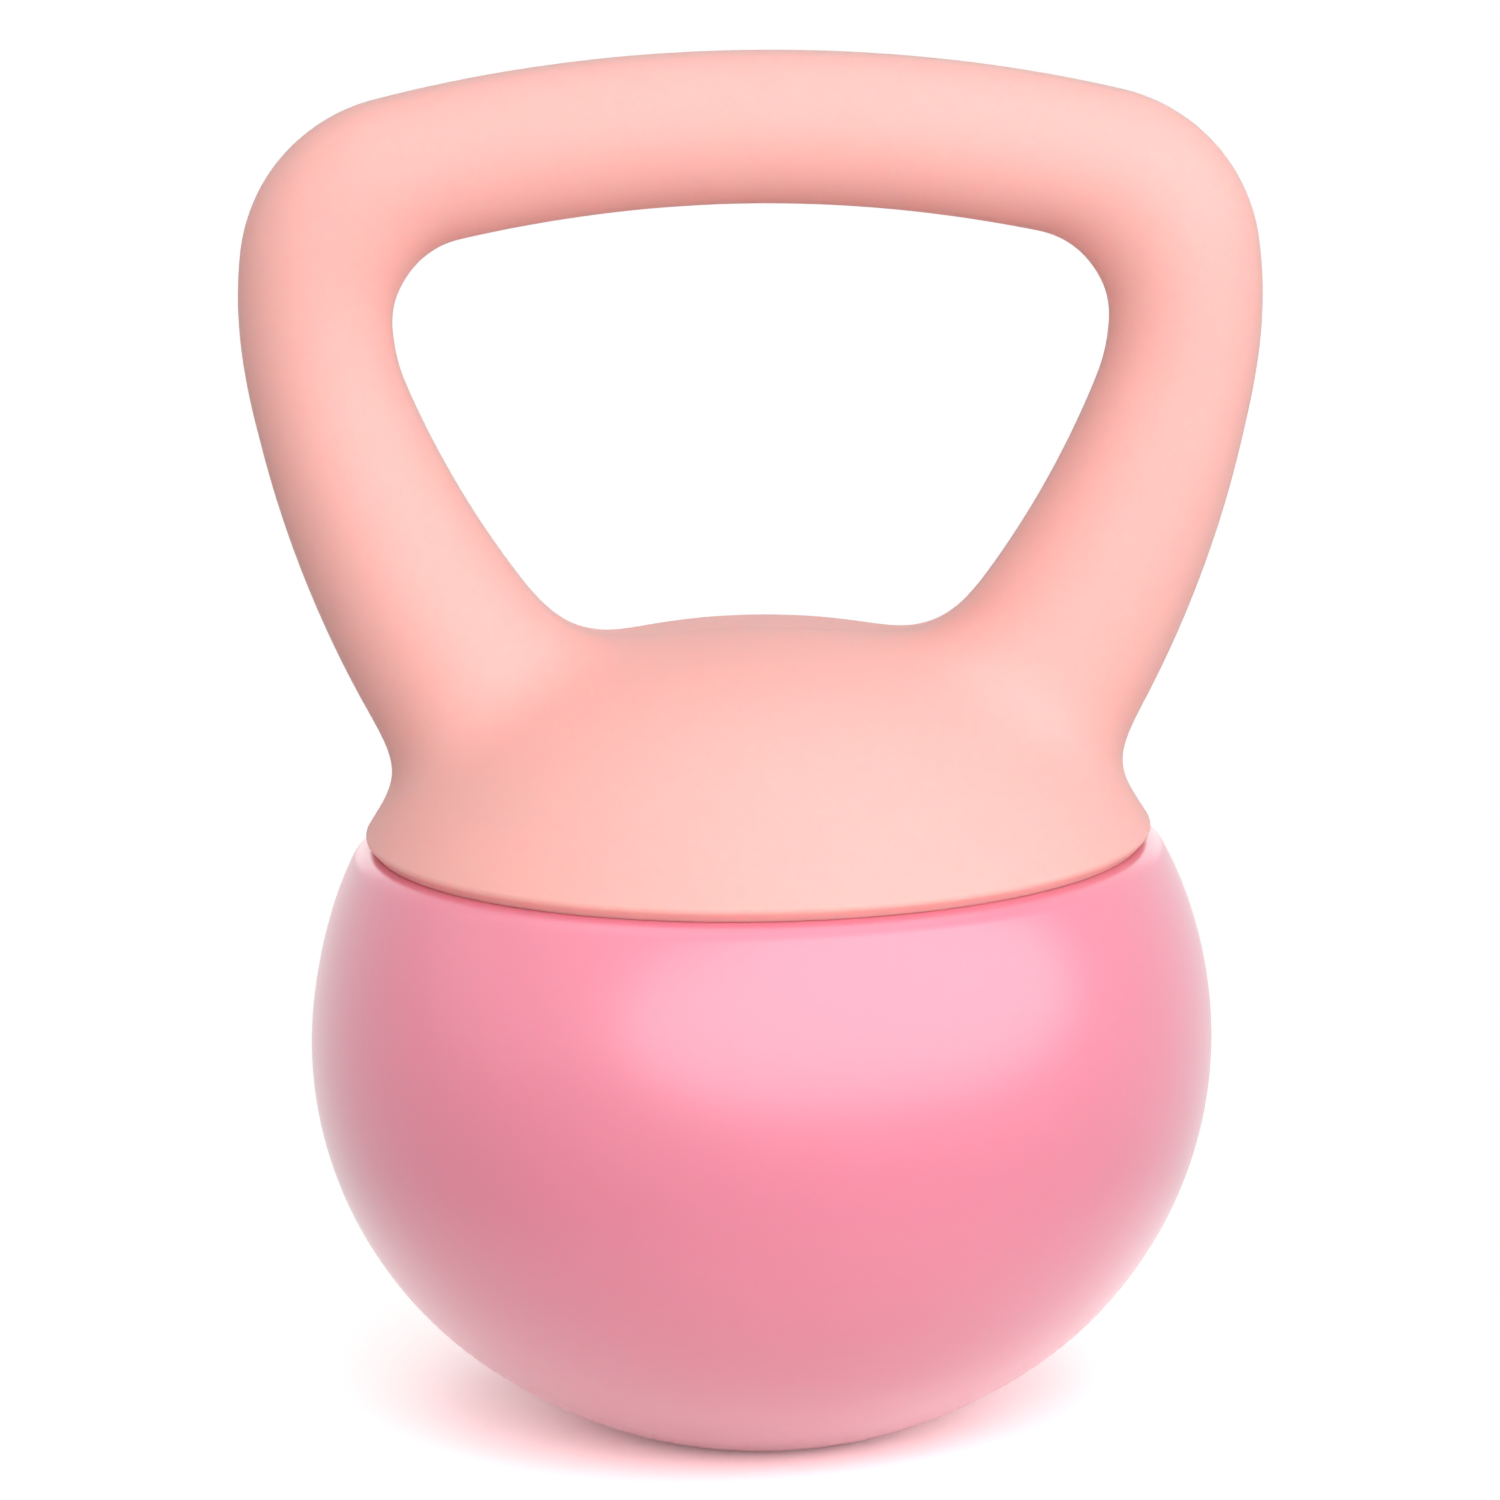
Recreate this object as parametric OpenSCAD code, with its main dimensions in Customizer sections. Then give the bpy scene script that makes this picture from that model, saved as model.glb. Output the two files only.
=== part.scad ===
// Soft kettlebell: a hollow handle and cap in two welded shells, clamped on a filled soft ball.
// Millimetres, +Z up. The origin is the middle of the ball's flat foot, on the floor.
// The handle stands in the XZ plane, and the two shells meet on it.

/* [Ball] */
// Widest diameter of the ball
ball_d = 170; // [160:1:180]
// How far the side curve's centre lies from the ball's axis
side_out = 10.5; // [7:0.5:14]
// How far the underside curve's centre lies over the side curve's
under_up = 11.5; // [8:0.5:15]
// Diameter of the flat foot
foot_d = 46; // [38:1:54]
// Angle up the side curve at which the ball's mouth is cut
mouth_angle = 29.7; // [27:0.1:32]
// Rounding of the mouth's edge
mouth_round = 0.8; // [0.5:0.1:1.2]
// Thickness of the ball's soft wall
skin_t = 4; // [3:0.25:5]
// Thickness of the ball's floor
floor_t = 6; // [5:0.5:8]
// Width of the lip that stands round the closure plate
lip_w = 3.2; // [2.6:0.1:3.8]
// Thickness of the inward flange that is clamped at the mouth
flange_t = 3.5; // [3:0.25:4.5]

/* [Cap] */
// Height of the cap over its rim
cap_rise = 41.4; // [38:0.2:46]
// How far the cap's rim stands inside the ball's mouth edge
rim_inset = 1.6; // [0:0.1:2]
// Rounding of the cap's lower lip
lip_round = 1.8; // [1.4:0.1:2.6]
// Gap between the cap's rim and the ball's mouth
seam_gap = 0.3; // [0.2:0.05:0.5]
// Wall of the handle and the cap
wall = 3; // [2.6:0.1:3.4]

/* [Handle] */
// Overall height, from the floor to the top of the handle
overall_h = 261.4; // [254:0.1:268]
// Width of the handle over its shoulders
handle_w = 189.6; // [182:0.2:198]
// Radius of the grip's gentle crown, along its middle line
crown_r = 272; // [220:4:320]
// Radius of the corners, along their middle line
corner_r = 26; // [22:0.5:30]
// Heading of the tube where the corner ends, 90 being straight down
corner_heading = 88.8; // [84:0.2:90]
// Radius of the shoulder's curve, as a share of the handle's height over the landing
shoulder_share = 0.525; // [0.44:0.005:0.6]
// Share of a plain arc's turn that the shoulder and the leg make together
turn_share = 0.8; // [0.7:0.01:0.9]
// How far from the axis each leg lands on the cap
landing_x = 49.9; // [47:0.2:53]
// Diameter of the grip
grip_d = 28.2; // [26:0.2:31]
// Diameter of the tube in the middle of a corner
corner_d = 31.3; // [29:0.1:34]
// Diameter of the tube at a shoulder
shoulder_d = 28.1; // [26:0.1:31]
// Diameter of a leg where it lands on the cap
leg_d = 39.3; // [37:0.1:42]
// How far before a corner the grip starts to swell
swell_lead = 6; // [3:0.5:10]
// How far past the shoulder the leg's even flare starts
waist_room = 2.5; // [1:0.5:6]
// Fillet between a leg and the cap, on the outer side
leg_fillet = 10.5; // [7:0.5:12]
// Fillet between a leg and the cap, on the side of the hand window
window_fillet = 14; // [9:0.5:15]
// Distance between the ribs inside the handle, along the tube
rib_gap = 34; // [28:1:40]
// Height of a rib over the inside of the wall
rib_h = 5; // [3:0.5:7]
// Thickness of a rib at the wall
rib_root = 2; // [1.6:0.1:2.4]
// Thickness of a rib at the split, where the mould draws it
rib_tip = 1.4; // [1.2:0.1:1.6]

/* [Weld seam] */
// Thickness of the tongue along the front shell's edge
tongue_t = 1; // [0.8:0.1:1.2]
// Height of the tongue
tongue_h = 1.4; // [1:0.1:1.8]
// Clearance of the tongue in its groove
tongue_clear = 0.15; // [0.1:0.05:0.2]

/* [Closure] */
// Thickness of the closure plate
plate_t = 3; // [2.5:0.1:3.5]
// Clearance round the plate and its flange
plate_clear = 0.3; // [0.2:0.05:0.4]
// Thickness of the plate's flange, which the shells grip
grip_flange_t = 2; // [1.6:0.1:2.4]
// How far the plate's flange reaches past its collar
grip_flange_w = 5.4; // [4.5:0.1:6]
// Thickness of the collar
collar_t = 3; // [2.5:0.1:3.5]
// Thickness of the shells' lip under the plate's flange
under_lip_t = 2.6; // [2.2:0.1:3]
// Thickness of the shells' lip over the plate's flange
over_lip_t = 2.4; // [2:0.1:2.8]
// Wall left between the flange's groove and the cap's outside
groove_wall = 3; // [2.5:0.1:3.5]
// Width of the keys that stop the plate from turning
key_w = 10; // [8:0.5:12]
// Thickness of the plate's ribs, one between each two screws
plate_rib_t = 2; // [1.5:0.1:2.5]
// Diameter of the plate's hub
hub_d = 18; // [14:1:22]
// Thickness of the gasket
gasket_t = 1.5; // [1:0.1:2]
// Thickness of the mouth ring inside the ball
ring_t = 4; // [3.5:0.1:4.5]
// Width from the screws to the inner edge of the gasket and the mouth ring
inner_w = 6; // [5:0.5:7]
// Clearance between the mouth ring and the ball's wall
ring_clear = 1; // [0.5:0.1:1.5]

/* [Screws] */
// Number of screws round the mouth
screw_n = 8; // [6:1:10]
// Diameter of a screw's shank
screw_d = 3.5; // [3:0.1:4]
// Diameter of a screw's head
head_d = 8; // [7:0.1:8.5]
// Height of a screw's head
head_h = 2.6; // [2.2:0.1:3]
// Gap between a screw's head and the collar
head_gap = 1.5; // [1:0.1:2]
// Clearance of the shank in the plate, gasket and flange
hole_clear = 0.25; // [0.2:0.05:0.4]
// Clearance of the shank in its boss
boss_clear = 0.05; // [0.03:0.01:0.08]
// Diameter of a boss under the mouth ring
boss_d = 9; // [8:0.5:10]
// Height of a boss under the mouth ring
boss_h = 9; // [8:0.5:10]
// Floor of a boss, under its blind hole
boss_floor = 1.2; // [0.8:0.1:1.6]
// Length of a screw's point
point_h = 2; // [1.5:0.1:2.5]
// Depth left under the screw's point in its boss
point_gap = 0.5; // [0.3:0.1:0.8]

/* [Fill] */
// Gap between the fill's top and the bosses over it
fill_gap = 0.8; // [0.4:0.1:2]
// Clearance between the fill and the inside of the ball
fill_clear = 0.2; // [0.1:0.05:0.4]

/* [Hidden] */

// Ball: the underside curve is centred on the axis and runs smoothly into the side curve.
side_r = ball_d / 2 - side_out;
under_r = side_r + norm([side_out, under_up]);
under_z = sqrt(pow(under_r, 2) - pow(foot_d / 2, 2));
side_z = under_z - under_up;
blend_angle = atan2(under_up, side_out);
mouth_r = side_out + side_r * cos(mouth_angle);
mouth_z = side_z + side_r * sin(mouth_angle);
curve_step = 3;
round_fn = 96;
hole_fn = 32;

// Extra reach of a cut past the face it opens, and of a rib or key into the wall it joins
past = 1;
bite = 1;

// Levels at the mouth, from the cap's rim down
rim_z = mouth_z + seam_gap;
plate_bottom = mouth_z - plate_t;
flange_top = plate_bottom - gasket_t;
flange_bottom = flange_top - flange_t;
ring_bottom = flange_bottom - ring_t;
boss_bottom = ring_bottom - boss_h;
fill_top = boss_bottom - fill_gap;

// Cap: a dome that runs into the rounded lower lip.
lip_centre = [mouth_r - rim_inset - lip_round, rim_z + lip_round];
cap_inner_rise = cap_rise - 2 * lip_round;
cap_r = (pow(lip_centre.x, 2) + pow(cap_inner_rise, 2)) / (2 * cap_inner_rise) + lip_round;
cap_z = rim_z + cap_rise - cap_r;
cap_centre = [0, 0, cap_z];
cap_fn = 60;

// Facets round the tube and steps along it: finer on the outside than in the hollow
skin_sides = 24;
skin_fine = 2;
hollow_sides = 16;
hollow_fine = 1;

// Closure plate: its flange sits in a groove inside the cap's rim.
groove_bottom = rim_z + under_lip_t;
grip_bottom = groove_bottom + plate_clear;
grip_top = grip_bottom + grip_flange_t;
groove_top = grip_top + plate_clear;
groove_r = sqrt(pow(cap_r, 2) - pow(groove_top - cap_z, 2)) - groove_wall;
grip_r = groove_r - plate_clear;
collar_r = grip_r - grip_flange_w;
bore_r = collar_r + plate_clear;
plate_r = mouth_r - lip_w - plate_clear;
lip_top = groove_top + over_lip_t;
screw_circle_r = collar_r - collar_t - head_gap - head_d / 2;
inner_r = screw_circle_r - inner_w;
hole_r = screw_d / 2 + hole_clear;
boss_hole_r = screw_d / 2 + boss_clear;

// Outer radius of the mouth ring, clear of the wall where the wall is narrowest beside it
ring_outer_r = side_out + sqrt(pow(side_r - skin_t, 2) - pow(flange_bottom - side_z, 2)) - ring_clear;

// Screws: from the plate's top down into the bosses.
screw_tip = boss_bottom + boss_floor + point_gap;

// Handle path. A stop is [x, z, heading, distance]: heading 0 is +X, and it turns downward.
function arc_step(p, r, turn) =
    [p[0] + r * (sin(p[2] + turn) - sin(p[2])), p[1] + r * (cos(p[2] + turn) - cos(p[2])),
     p[2] + turn, p[3] + r * turn * PI / 180];
landing = [landing_x, cap_z + sqrt(pow(cap_r, 2) - pow(landing_x, 2))];
shoulder_r = shoulder_share * (overall_h - landing[1]);
shoulder_x = (handle_w - shoulder_d) / 2;
crown_turn = asin((shoulder_x - corner_r * sin(corner_heading)
                   - shoulder_r * (1 - sin(corner_heading))) / (crown_r - corner_r));
crown_start = [0, overall_h - grip_d / 2, 0, 0];
corner_start = arc_step(crown_start, crown_r, crown_turn);
shoulder_start = arc_step(corner_start, corner_r, corner_heading - crown_turn);

// The shoulder and the leg are two arcs that meet smoothly, from the corner's end to the landing.
chord_heading = atan2(shoulder_start[1] - landing[1], landing[0] - shoulder_start[0]);
landing_heading = corner_heading + 2 * turn_share * (chord_heading - corner_heading);
shoulder_centre = [shoulder_start[0], shoulder_start[1]]
    - shoulder_r * [sin(corner_heading), cos(corner_heading)];
landing_side = -[sin(landing_heading), cos(landing_heading)];
span = shoulder_centre - landing;
leg_r = (span * span - pow(shoulder_r, 2)) / (2 * (span * landing_side - shoulder_r));
arcs_joint = (span - leg_r * landing_side) / (leg_r - shoulder_r);
shoulder_heading = atan2(arcs_joint.x, arcs_joint.y);
leg_start = arc_step(shoulder_start, shoulder_r, shoulder_heading - corner_heading);
leg_turn = landing_heading - shoulder_heading;
leg_end = arc_step(leg_start, leg_r, leg_turn);

// The tube's diameter along the path, as a smooth curve through the named diameters
flare_start = leg_start[3] + waist_room;
waist = (shoulder_start[3] + leg_start[3]) / 2;
leg_flare = (leg_d - shoulder_d) / (leg_end[3] - (flare_start + waist) / 2);
gauge_at = [0, corner_start[3] - swell_lead, (corner_start[3] + shoulder_start[3]) / 2,
            waist, flare_start, leg_end[3]];
gauge = [grip_d, grip_d, corner_d, shoulder_d,
         leg_d - leg_flare * (leg_end[3] - flare_start), leg_d];
gauge_slope = [0, 0, 0, 0, leg_flare, leg_flare];
function gauge_span(s, i = 0) =
    i == len(gauge) - 2 || s <= gauge_at[i + 1] ? i : gauge_span(s, i + 1);
function tube_d(s) =
    let(i = gauge_span(s), run = gauge_at[i + 1] - gauge_at[i], t = (s - gauge_at[i]) / run)
    gauge[i] * (1 + 2 * t) * pow(1 - t, 2) + gauge[i + 1] * t * t * (3 - 2 * t)
    + run * (gauge_slope[i] * t * pow(1 - t, 2) - gauge_slope[i + 1] * t * t * (1 - t));

// Stops from the top of the crown to just over the fillet, in even steps along each arc
fillet_room = 1.3 * max(leg_fillet, window_fillet);
tube_turn = leg_turn * (1 - fillet_room / (leg_end[3] - leg_start[3]));
function arc_stops(p, r, turn, n) = [for (k = [1 : n]) arc_step(p, r, turn * k / n)];
function half_path(fine) = concat(
    arc_stops(crown_start, crown_r, crown_turn, 3 * fine),
    arc_stops(corner_start, corner_r, corner_heading - crown_turn, 6 * fine),
    arc_stops(shoulder_start, shoulder_r, shoulder_heading - corner_heading, 2 * fine),
    arc_stops(leg_start, leg_r, tube_turn, 4 * fine));

// A ring of points round the path at a stop, the first on the outer side
function ring(p, d, sides) =
    [for (k = [0 : sides - 1])
        let(a = 360 * k / sides, out = cos(a) * d / 2)
        [p[0] + out * sin(p[2]), sin(a) * d / 2, p[1] + out * cos(p[2])]];
function mirror_ring(points) = [for (p = points) [-p.x, p.y, p.z]];
function unit(v) = v / norm(v);

// The leg runs straight on into the cap until both its sides are through the wall.
leg_way = [cos(leg_end[2]), -sin(leg_end[2])];
leg_out = [sin(leg_end[2]), cos(leg_end[2])];
function sink_at(side) =
    let(p = [leg_end[0], leg_end[1] - cap_z] + side * leg_d / 2 * leg_out, way = p * leg_way)
    -way - sqrt(way * way - p * p + pow(cap_r - 2 * wall, 2));
sink = max(sink_at(-1), sink_at(1));
sunk_d = leg_d + sink * leg_flare;
function sunk(p, run) =
    [p[0] + run * cos(p[2]), p[1] - run * sin(p[2]), p[2], p[3] + run];
// Where the line from p to q meets a dome of radius r
function meet(p, q, r) =
    let(d = unit(q - p), o = p - cap_centre, b = o * d)
    p + d * (-b - sqrt(b * b - o * o + r * r));

// One ring of the fillet between leg and cap, from its start on the leg at t = 0 to its toe at
// t = 90, just under the cap's skin. It widens from the outer side to the side of the window.
hub = [landing[0], 0, landing[1]];
toe_depth = 0.4;
fillet_steps = 5;
function fillet_ring(a, b, t) =
    [for (k = [0 : len(a) - 1])
        let(to_window = (1 - cos(360 * k / len(a))) / 2,
            fillet = leg_fillet + (window_fillet - leg_fillet) * to_window,
            r = cap_r + fillet * (1 - sin(t)) - toe_depth * (1 - cos(t)),
            q = meet(a[k], b[k], r),
            up = unit(q - cap_centre),
            out = unit((q - hub) - ((q - hub) * up) * up))
        cap_centre + r * unit(q + out * fillet * (1 - cos(t)) - cap_centre)];

// Skin over a row of rings, closed by its two end rings
module loft(rings) {
    n = len(rings[0]);
    last = n * (len(rings) - 1);
    sides = [for (i = [0 : len(rings) - 2], k = [0 : n - 1])
        [i * n + (k + 1) % n, (i + 1) * n + (k + 1) % n, (i + 1) * n + k, i * n + k]];
    ends = [[for (k = [n - 1 : -1 : 0]) k], [for (k = [0 : n - 1]) last + k]];
    polyhedron(points = [for (r = rings) each r], faces = concat(sides, ends), convexity = 6);
}

// The tube of grip, corners and legs, drawn in by inset, with or without the fillets on the cap
module tube(inset, sides, fine, filleted) {
    path = half_path(fine);
    shrink = 2 * inset;
    half = [for (p = path) ring(p, tube_d(p[3]) - shrink, sides)];
    above = half[len(half) - 1];
    below = ring(sunk(leg_end, sink), sunk_d - shrink, sides);
    foot = filleted
        ? [for (i = [0 : fillet_steps]) fillet_ring(above, below, 90 * i / fillet_steps)]
        : [below];
    right = concat(half, foot);
    left = [for (i = [len(right) - 1 : -1 : 0]) mirror_ring(right[i])];
    loft(concat(left, [ring(crown_start, grip_d - shrink, sides)], right));
}

// Points on a circle in the section plane, from angle a to angle b
function arc(c, r, a, b, n) = [for (k = [0 : n]) let(t = a + (b - a) * k / n) c + r * [cos(t), sin(t)]];

// The cap as a closed dome over the floor level z
module cap_dome(inset, z) {
    r = cap_r - inset;
    low = asin((z - cap_z) / r);
    rotate_extrude($fn = cap_fn)
        polygon(concat([[0, z]], arc([0, cap_z], r, low, 90, 9)));
}

// The cap's outside: dome, rounded lip and flat rim
module cap_outside() {
    low = asin((lip_centre.y - cap_z) / (cap_r - lip_round));
    rotate_extrude($fn = cap_fn)
        polygon(concat([[0, rim_z]], arc(lip_centre, lip_round, -90, low, 5),
                       arc([0, cap_z], cap_r, low, 90, 10)));
}

// The hollow under the cap, with the groove for the plate's flange
module cap_hollow() {
    r = cap_r - wall;
    low = asin((lip_top + wall - cap_z) / r);
    rotate_extrude($fn = cap_fn)
        polygon(concat(
            [[0, rim_z - past], [bore_r, rim_z - past], [bore_r, groove_bottom], [groove_r, groove_bottom],
             [groove_r, groove_top], [bore_r, groove_top], [bore_r, lip_top]],
            arc([0, cap_z], r, low, 90, 7)));
}

// A wall of thickness t that follows the middle of the shell's wall, up to height h past the split
module seam_wall(t, h) {
    outer = (wall - t) / 2;
    inner = (wall + t) / 2;
    intersection() {
        difference() {
            union() {
                tube(outer, hollow_sides, hollow_fine, false);
                cap_dome(outer, lip_top);
            }
            tube(inner, hollow_sides, hollow_fine, false);
            cap_dome(inner, lip_top - past);
        }
        translate([-handle_w, -past, lip_top])
            cube([2 * handle_w, h + past, overall_h]);
    }
}

// One rib across the tube's hollow: a drafted half-moon plate with its middle left open
module rib(p, side) {
    hollow_r = tube_d(p[3]) / 2 - wall;
    reach = hollow_r + bite;
    edge = 0.1;
    translate([p[0], 0, p[1]])
        rotate([0, p[2], 0])
            difference() {
                intersection() {
                    hull() {
                        translate([-rib_tip / 2, -edge / 2, -reach])
                            cube([rib_tip, edge, 2 * reach]);
                        translate([-rib_root / 2, side * reach - edge / 2, -reach])
                            cube([rib_root, edge, 2 * reach]);
                    }
                    rotate([0, 90, 0])
                        cylinder(r = reach, h = 2 * rib_root, center = true, $fn = skin_sides);
                    translate([-rib_root, side > 0 ? 0 : -reach, -reach])
                        cube([2 * rib_root, reach, 2 * reach]);
                }
                rotate([0, 90, 0])
                    cylinder(r = hollow_r - rib_h, h = 3 * rib_root, center = true, $fn = hollow_sides);
            }
}

// The stop at distance s along one half of the handle
function arc_at(start, r, s) = arc_step(start, r, (s - start[3]) / r * 180 / PI);
function stop_at(s) =
    s < corner_start[3] ? arc_at(crown_start, crown_r, s)
    : s < shoulder_start[3] ? arc_at(corner_start, corner_r, s)
    : s < leg_start[3] ? arc_at(shoulder_start, shoulder_r, s)
    : arc_at(leg_start, leg_r, s);

module ribs(side) {
    rib(stop_at(0), side);
    for (i = [1 : floor((leg_end[3] - fillet_room) / rib_gap)]) {
        rib(stop_at(i * rib_gap), side);
        mirror([1, 0, 0])
            rib(stop_at(i * rib_gap), side);
    }
}

// The key that fills the groove in the middle of a shell, run a little into the lips and wall round it
module key(side) {
    key_r = bore_r + plate_clear;
    intersection() {
        rotate_extrude($fn = cap_fn)
            translate([key_r, groove_bottom - bite])
                square([groove_r - key_r + bite, groove_top - groove_bottom + 2 * bite]);
        translate([-key_w / 2, side > 0 ? 0 : -ball_d, 0])
            cube([key_w, ball_d, overall_h]);
    }
}

// One hollow moulded half of the handle and cap: side -1 is the front, 1 the rear
module shell_half(side) {
    difference() {
        intersection() {
            union() {
                tube(0, skin_sides, skin_fine, true);
                cap_outside();
            }
            translate([-handle_w, side > 0 ? 0 : -ball_d, 0])
                cube([2 * handle_w, ball_d, overall_h + past]);
        }
        difference() {
            union() {
                tube(wall, hollow_sides, hollow_fine, false);
                cap_hollow();
            }
            key(side);
        }
    }
    ribs(side);
}

module handle_front_shell() {
    color("#fcc5be") {
        shell_half(-1);
        seam_wall(tongue_t, tongue_h);
    }
}

module handle_rear_shell() {
    color("#f9beb7")
        difference() {
            shell_half(1);
            seam_wall(tongue_t + 2 * tongue_clear, tongue_h + tongue_clear);
        }
}

// Copies a piece to every screw's place
module at_screws() {
    for (i = [0 : screw_n - 1])
        rotate([0, 0, (i + 0.5) * 360 / screw_n])
            translate([screw_circle_r, 0, 0])
                children();
}

module screw_holes(r, low, high) {
    at_screws()
        translate([0, 0, low])
            cylinder(r = r, h = high - low, $fn = hole_fn);
}

// Disc with a hub, radial ribs, and a collar whose flange the two shells grip
module closure_plate() {
    color("#e9b3ab")
        difference() {
            union() {
                rotate_extrude($fn = round_fn)
                    polygon([[0, plate_bottom], [plate_r, plate_bottom], [plate_r, mouth_z],
                             [collar_r, mouth_z], [collar_r, grip_bottom], [grip_r, grip_bottom],
                             [grip_r, grip_top], [collar_r - collar_t, grip_top],
                             [collar_r - collar_t, mouth_z], [0, mouth_z]]);
                translate([0, 0, plate_bottom])
                    cylinder(d = hub_d, h = grip_top - plate_bottom, $fn = round_fn);
                for (i = [0 : screw_n - 1])
                    rotate([0, 0, i * 360 / screw_n])
                        translate([0, -plate_rib_t / 2, plate_bottom])
                            cube([collar_r - collar_t / 2, plate_rib_t, grip_top - plate_bottom]);
            }
            screw_holes(hole_r, plate_bottom - past, mouth_z + past);
            for (side = [-1, 1])
                translate([-key_w / 2 - plate_clear, side > 0 ? collar_r : -grip_r - past, mouth_z])
                    cube([key_w + 2 * plate_clear, grip_r - collar_r + past, grip_top - mouth_z + past]);
        }
}

// Flat ring between the ball's flange and the plate
module mouth_gasket() {
    color("#4a4a4c")
        difference() {
            translate([0, 0, flange_top])
                cylinder(r = plate_r, h = gasket_t, $fn = round_fn);
            translate([0, 0, flange_top - past])
                cylinder(r = inner_r, h = gasket_t + 2 * past, $fn = round_fn);
            screw_holes(hole_r, flange_top - past, plate_bottom + past);
        }
}

// Ring under the ball's flange, with a blind boss for every screw
module mouth_ring() {
    color("#d8d4cc")
        difference() {
            union() {
                translate([0, 0, ring_bottom])
                    cylinder(r = ring_outer_r, h = ring_t, $fn = round_fn);
                at_screws()
                    translate([0, 0, boss_bottom])
                        cylinder(d = boss_d, h = ring_bottom - boss_bottom + ring_t / 2, $fn = hole_fn);
            }
            translate([0, 0, ring_bottom - past])
                cylinder(r = inner_r, h = ring_t + 2 * past, $fn = round_fn);
            screw_holes(boss_hole_r, boss_bottom + boss_floor, flange_bottom + past);
        }
}

// Pan-head screws, from the plate's top into the bosses
module clamp_screws() {
    shank_r = screw_d / 2;
    head_r = head_d / 2;
    crown = head_h / 2;
    color("#b9bcc0")
        at_screws()
            rotate_extrude($fn = hole_fn)
                polygon([[0, screw_tip], [shank_r / 3, screw_tip], [shank_r, screw_tip + point_h],
                         [shank_r, mouth_z], [head_r, mouth_z], [head_r, mouth_z + head_h - crown],
                         [head_r - crown / 2, mouth_z + head_h - crown / 4],
                         [head_r - crown, mouth_z + head_h], [0, mouth_z + head_h]]);
}

// The ball's section, drawn in by inset, from the axis up to level z on the side curve
function ball_curve(inset, low_z, high_z) =
    let(u = under_r - inset, s = side_r - inset,
        low = asin((low_z - under_z) / u), high = asin((high_z - side_z) / s))
    concat(arc([0, under_z], u, low, -blend_angle, ceil((-blend_angle - low) / curve_step)),
           arc([side_out, side_z], s, -blend_angle, high, ceil((high + blend_angle) / curve_step)));

// Soft hollow ball with a flat foot, a standing lip and an inward flange at its mouth
module ball_skin() {
    edge = [side_out + sqrt(pow(side_r - mouth_round, 2) - pow(mouth_z - mouth_round - side_z, 2)),
            mouth_z - mouth_round];
    edge_angle = asin((edge.y - side_z) / (side_r - mouth_round));
    color("#e98aa4")
        difference() {
            rotate_extrude($fn = round_fn)
                polygon(concat(
                    [[0, 0]],
                    ball_curve(0, 0, side_z + side_r * sin(edge_angle)),
                    arc(edge, mouth_round, edge_angle, 90, 4),
                    [[mouth_r - lip_w, mouth_z], [mouth_r - lip_w, flange_top], [inner_r, flange_top],
                     [inner_r, flange_bottom]],
                    reversed(ball_curve(skin_t, floor_t, flange_bottom)),
                    [[0, floor_t]]));
            screw_holes(hole_r, flange_bottom - past, flange_top + past);
        }
}

function reversed(list) = [for (i = [len(list) - 1 : -1 : 0]) list[i]];

// Loose iron sand that fills the ball up to the bosses
module iron_sand_fill() {
    low = floor_t + fill_clear;
    color("#4b4744")
        rotate_extrude($fn = round_fn)
            polygon(concat([[0, low]], ball_curve(skin_t + fill_clear, low, fill_top), [[0, fill_top]]));
}

handle_front_shell();
handle_rear_shell();
closure_plate();
mouth_gasket();
mouth_ring();
clamp_screws();
ball_skin();
iron_sand_fill();
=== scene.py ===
import math

import bmesh
import bpy
import numpy as np
from bpy.props import FloatProperty, FloatVectorProperty, IntProperty, PointerProperty
from bpy.types import Operator, Panel, PropertyGroup
from mathutils import Matrix, Vector


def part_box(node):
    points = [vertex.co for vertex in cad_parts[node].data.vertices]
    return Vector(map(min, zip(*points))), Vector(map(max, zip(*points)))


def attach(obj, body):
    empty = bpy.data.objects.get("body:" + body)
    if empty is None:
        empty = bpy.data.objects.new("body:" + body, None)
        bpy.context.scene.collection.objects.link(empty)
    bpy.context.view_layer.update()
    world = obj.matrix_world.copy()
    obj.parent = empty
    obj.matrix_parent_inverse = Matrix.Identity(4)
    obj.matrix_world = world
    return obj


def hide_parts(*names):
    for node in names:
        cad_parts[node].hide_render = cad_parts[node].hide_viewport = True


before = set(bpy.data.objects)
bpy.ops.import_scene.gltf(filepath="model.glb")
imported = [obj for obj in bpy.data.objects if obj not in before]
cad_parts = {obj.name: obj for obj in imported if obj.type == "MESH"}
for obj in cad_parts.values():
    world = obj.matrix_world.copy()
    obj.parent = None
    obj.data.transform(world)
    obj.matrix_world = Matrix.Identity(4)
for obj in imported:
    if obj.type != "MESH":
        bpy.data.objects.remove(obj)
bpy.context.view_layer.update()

bl_info = {
    "name": "Soft Kettlebell",
    "version": (1, 0, 0),
    "blender": (4, 5, 0),
    "location": "3D View > Sidebar > Kettlebell",
    "description": "Moulds and finishes a soft kettlebell round its packed frame",
    "category": "Object",
}

MM = 0.001
ROOT = "root"


def linear(hex_colour):
    """Linear RGBA of an sRGB hex colour such as #F6B5AC."""
    parts = [int(hex_colour[i:i + 2], 16) / 255 for i in (1, 3, 5)]
    return [c / 12.92 if c <= 0.04045 else ((c + 0.055) / 1.055) ** 2.4 for c in parts] + [1.0]


def size(name, description, millimetres, low=0.0):
    """A length property, given in millimetres and kept in metres."""
    return FloatProperty(name=name, description=description, default=millimetres * MM,
                         min=low * MM, subtype="DISTANCE", unit="LENGTH", precision=5)


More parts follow.
